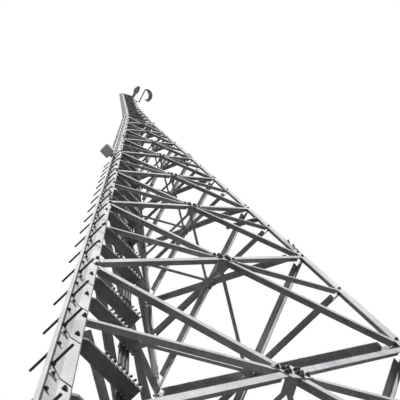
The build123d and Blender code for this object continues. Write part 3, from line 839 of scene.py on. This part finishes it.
def cableFittings(places, sizes):
    mesh = bmesh.new()
    body, nut, length = sizes["body"], sizes["nut"], sizes["length"]
    neck, nutEdge = body * sizes["neckShare"], sizes["nutEdge"]
    rings = [
        (-sizes["boot"], body * sizes["bootShare"]), (sizes["bootEdge"] - sizes["boot"], neck),
        (0.0, body), (length * (sizes["nutFrom"] - nutEdge), body),
        (length * sizes["nutFrom"], nut),
    ]
    for k in range(sizes["knurls"]):
        at = length * (sizes["nutFrom"] + nutEdge + sizes["knurlPitch"] * k)
        rings += [(at, nut), (at + length * nutEdge, nut * sizes["grooveShare"]),
                  (at + length * sizes["grooveEnd"], nut)]
    rings += [(length * sizes["nutTo"], nut), (length * (sizes["nutTo"] + nutEdge), neck),
              (length * sizes["capTo"], neck), (length, body * sizes["capShare"])]
    for place, out in places:
        lathe(mesh, place, out, rings, 18)
    return mesh


cableStarts, cableEnds = [], []
for out in cableOuts:
    foot = corner(nearLeg, feeder["bottom"]) + polar(out, nearLeg)
    foot += polar(cableSide, nearLeg + 90)
    climb = hangerLevels[-1] + feeder["cableOver"] - feeder["bottom"]
    cableStarts.append((foot, -nearRun))
    cableEnds.append((foot + nearRun * (climb / nearRun.z), nearRun))

brightClips, darkClips = cableClips()
newPiece("cable_clips", brightClips, clipZinc)
newPiece("cable_clip_feet", darkClips, shadeDarkBoltZinc)
newPiece("cable_saddles", cableSaddles(), darkSteel)
newPiece("cable_fittings", cableFittings(cableStarts + cableEnds, connector), trunkSteel)
print("feeder clips, saddles and fittings made")

# Bolts at the ends and crossings of the head's bars
head = {
    "bar": 0.030, "barThick": 0.004, "edge": 0.042, "legOuter": 0.0005, "boltRise": 0.012,
    "boltOut": 0.006, "boltScale": 0.6,
}


def headBolts(azimuth):
    mesh = bmesh.new()
    size, scale = head["bar"], head["boltScale"]
    for k in range(mast["headPanels"]):
        low = kink + k * headStep + size
        high = low + headStep - 2 * size
        normal = faceNormal(azimuth, low)
        halfLow, halfHigh = [widthAt(z) / 2 - head["edge"] for z in (low, high)]
        for sign in (-1, 1):
            for z, half in ((low + head["boltRise"], halfLow), (high - head["boltRise"], halfHigh)):
                place = onFace(azimuth, sign * (half + head["boltOut"]), z)
                bolt(mesh, place + normal * head["legOuter"], normal,
                     mast["headLegThick"] + head["barThick"], scale)
        crossing = low + (high - low) * halfLow / (halfLow + halfHigh)
        place = onFace(azimuth, 0, crossing) - normal * mast["headLegThick"]
        bolt(mesh, place, normal, head["barThick"], scale)
    return mesh


for faceName, azimuth in faceAzimuths.items():
    newPiece(f"head_bolts_{faceName}", headBolts(azimuth), shadeDarkBoltZinc)

# Bolts of the collar at the kink
collar = {"drop": 0.060, "normalDrop": 0.1, "boltIn": 0.036, "boltRise": 0.022, "boltScale": 0.8}


def collarBolts():
    mesh = bmesh.new()
    z = kink - collar["drop"]
    for azimuth in faceAzimuths.values():
        normal = faceNormal(azimuth, z - collar["normalDrop"])
        for sign in (-1, 1):
            for rise in (-collar["boltRise"], collar["boltRise"]):
                place = onFace(azimuth, sign * (widthAt(z) / 2 - collar["boltIn"]), z + rise)
                bolt(mesh, place + normal * splice["thick"], normal,
                     splice["thick"] + mast["legThick"], collar["boltScale"])
    return mesh


# Small bolts of the closing plate on the head
cap = {"thick": 0.008, "sunk": 0.004, "boltIn": 0.030, "spread": 38, "boltScale": 0.35}


def capBolts():
    mesh = bmesh.new()
    for azimuth in legAzimuths.values():
        for side in (-1, 1):
            place = corner(azimuth, mastTop)
            place += polar(cap["boltIn"], azimuth + 180 + side * cap["spread"])
            bolt(mesh, place + up * (cap["thick"] - cap["sunk"]), up, 0, cap["boltScale"])
    return mesh


newPiece("collar_bolts", collarBolts(), shadeDarkBoltZinc)
newPiece("cap_bolts", capBolts(), shadeDarkBoltZinc)

# End fittings of the head's cables, slimmer than the feeder's
headCable = {
    "first": 0.150, "pitch": 0.026, "count": 5, "radius": 0.009, "gap": 0.0003, "foot": 0.090,
    "short": 0.5, "body": 0.0115, "nut": 0.0125,
}
headStarts, headEnds = [], []
leftNormal = faceNormal(faceAzimuths["left"], kink + 0.001)  # just above the kink
headInset = mast["headLegThick"] + head["bar"] + headCable["radius"] + headCable["gap"]
for k in range(headCable["count"]):
    foot = corner(nearLeg, kink + headCable["foot"]) - leftNormal * headInset
    foot += polar(headCable["first"] + k * headCable["pitch"], faceAzimuths["left"] - 90)
    headStarts.append((foot, -up))
    headEnds.append((foot + up * (mast["headHeight"] - headCable["short"]), up))
headConnector = {**connector, "body": headCable["body"], "nut": headCable["nut"]}
newPiece("head_cable_fittings", cableFittings(headStarts + headEnds, headConnector), trunkSteel)
print("head fittings made")

# Rest platforms inside the head: folded plate, clear of the bracing and of the cables
platforms = {
    "every": 2, "rise": 0.46, "inset": 0.050, "cableSide": 0.085, "thick": 0.005, "lip": 0.045,
    "rim": 0.03, "rimTurns": 4, "boltShares": (0.2, 0.5, 0.8), "boltOff": 0.001,
    "boltScale": 0.5, "legInset": 0.014, "armBack": 0.012, "armHalf": 0.003, "armRise": 0.015,
    "armOver": 0.010,
}


def platform(plates, fixings, z):
    # The three sides are the face planes moved inward, the left one further to leave cable room
    lip = up * platforms["lip"]
    lines = []
    for name, azimuth in faceAzimuths.items():
        inset = platforms["cableSide"] if name == "left" else platforms["inset"]
        lines.append((onFace(azimuth, 0, z) - polar(inset, azimuth), azimuth))
    points = []
    for (first, a), (second, b) in zip(lines, lines[1:] + lines[:1]):
        across, normal = polar(1, a + 90), polar(1, b)
        points.append(first + across * ((second - first).dot(normal) / across.dot(normal)))
    centre = sum(points, Vector()) / 3
    innerRim = platforms["rim"] + platforms["thick"] * platforms["rimTurns"]
    outer = [p.lerp(centre, platforms["rim"]) for p in points]
    inner = [p.lerp(centre, innerRim) for p in points]
    rings = [
        [p - lip for p in inner], [p - lip for p in outer], outer,
        [p - up * platforms["thick"] for p in inner],
    ]
    loops = [[plates.verts.new(p) for p in ring] for ring in rings]
    for low, high in ((0, 1), (1, 2), (3, 0)):
        for k in range(3):
            after = (k + 1) % 3
            plates.faces.new(
                (loops[low][k], loops[low][after], loops[high][after], loops[high][k]))
    plates.faces.new(loops[2])
    plates.faces.new(loops[3][::-1])
    for k in range(3):
        for share in platforms["boltShares"]:
            side = outer[k].lerp(outer[(k + 1) % 3], share)
            out = (side - centre).normalized()
            bolt(fixings, side - lip / 2 + out * platforms["boltOff"], out, 0,
                 platforms["boltScale"])
    for azimuth in legAzimuths.values():
        # Arm from the plate's corner to the inside of the leg
        leg = corner(azimuth, z) - polar(platforms["legInset"], azimuth)
        tip = min(outer, key=lambda point: (point - leg).length)
        reach = leg - tip
        reach.z = 0
        ahead = reach.normalized()
        side = up.cross(reach).normalized()
        block(plates, tip - lip / 2 - ahead * platforms["armBack"], side * platforms["armHalf"],
              up * platforms["armRise"], reach + ahead * platforms["armOver"])


plates, fixings = bmesh.new(), bmesh.new()
tapered = mast["headTapered"]
levels = [*range(tapered), *range(tapered, mast["headPanels"], platforms["every"])]
for k in levels:
    platform(plates, fixings, kink + (k + platforms["rise"]) * headStep)
newPiece("head_platforms", plates, darkSteel)
newPiece("head_platform_bolts", fixings, shadeDarkBoltZinc)
print("head platforms made")

# Floor: near white to look at and in reflections, while it throws little light up
floorLook = {"size": 60, "seen": "#f2f2f0", "thrown": "#585858"}
half = floorLook["size"] / 2
floorMesh = bpy.data.meshes.new("paleFloor")
floorMesh.from_pydata(
    [(-half, -half, 0), (half, -half, 0), (half, half, 0), (-half, half, 0)], [], [(0, 1, 2, 3)])
floor = bpy.data.objects.new("paleFloor", floorMesh)
bpy.context.scene.collection.objects.link(floor)


def seenDirectly(owner):
    # 1 for a ray from the camera, a reflection or clear glass, 0 for one that lights things
    rays = addNode(owner, "ShaderNodeLightPath")
    either = addNode(
        owner, "ShaderNodeMath", {"operation": "MAXIMUM"},
        {0: rays.outputs["Is Camera Ray"], 1: rays.outputs["Is Glossy Ray"]})
    anyOf = addNode(
        owner, "ShaderNodeMath", {"operation": "MAXIMUM"},
        {0: either.outputs["Value"], 1: rays.outputs["Is Transmission Ray"]})
    return anyOf.outputs["Value"]


# Matt floor paint: an even pale coat with no gloss
floorPaint = newMaterial("paleFloorPaint")
floorTone = addNode(
    floorPaint, "ShaderNodeMix",
    {"data_type": "RGBA", "A": linear(floorLook["thrown"]), "B": linear(floorLook["seen"])},
    {"Factor": seenDirectly(floorPaint)})
matt = addNode(floorPaint, "ShaderNodeBsdfDiffuse", links={"Color": floorTone.outputs["Result"]})
addNode(floorPaint, "ShaderNodeOutputMaterial", links={"Surface": matt.outputs["BSDF"]})
floorMesh.materials.append(floorPaint)

# World: white to look at, while the light it gives is soft and grows upward
worldGlow = {"from": -0.1, "to": 0.6, "low": 0.03, "high": 0.18}
scene = bpy.context.scene
world = bpy.data.worlds.new("studio")
world.use_nodes = True
world.node_tree.nodes.clear()
scene.world = world
worldSeen = seenDirectly(world)
direction = addNode(world, "ShaderNodeTexCoord")
height = addNode(
    world, "ShaderNodeSeparateXYZ", links={"Vector": direction.outputs["Generated"]})
glow = addNode(
    world, "ShaderNodeMapRange",
    {"From Min": worldGlow["from"], "From Max": worldGlow["to"], "To Min": worldGlow["low"],
     "To Max": worldGlow["high"]},
    {"Value": height.outputs["Z"]})
strength = addNode(
    world, "ShaderNodeMix", {"data_type": "FLOAT", "B": 1.0},
    {"Factor": worldSeen, "A": glow.outputs["Result"]})
sky = addNode(
    world, "ShaderNodeBackground", {"Color": (1, 1, 1, 1)},
    {"Strength": strength.outputs["Result"]})
addNode(world, "ShaderNodeOutputWorld", links={"Surface": sky.outputs["Background"]})

keyLight = {"azimuth": 248, "elevation": 51, "strength": 5.0, "softness": 1.2}
lamp = bpy.data.lights.new("keyLight", "SUN")
lamp.energy = keyLight["strength"]
lamp.angle = math.radians(keyLight["softness"])
key = bpy.data.objects.new("keyLight", lamp)
toward = polar(1, keyLight["azimuth"]) * math.cos(math.radians(keyLight["elevation"]))
toward.z = math.sin(math.radians(keyLight["elevation"]))
key.rotation_euler = toward.to_track_quat("Z", "Y").to_euler()
scene.collection.objects.link(key)

# The viewer stands in front of the near leg, the eye 1.39 m above the ground, looking steeply up
viewer = {
    "place": (0.000, -1.070, 1.392), "turn": (171.444, 4.816, -16.512), "lens": 93.6,
    "sensor": 36, "farthest": 200,
}
cameraData = bpy.data.cameras.new("camera")
cameraData.lens = viewer["lens"]
cameraData.sensor_width = viewer["sensor"]
cameraData.clip_end = viewer["farthest"]
camera = bpy.data.objects.new("camera", cameraData)
camera.location = viewer["place"]
camera.rotation_euler = Euler([math.radians(a) for a in viewer["turn"]], "XYZ")
scene.collection.objects.link(camera)
scene.camera = camera
scene.view_settings.view_transform = "Standard"
print("stage, light and camera set")
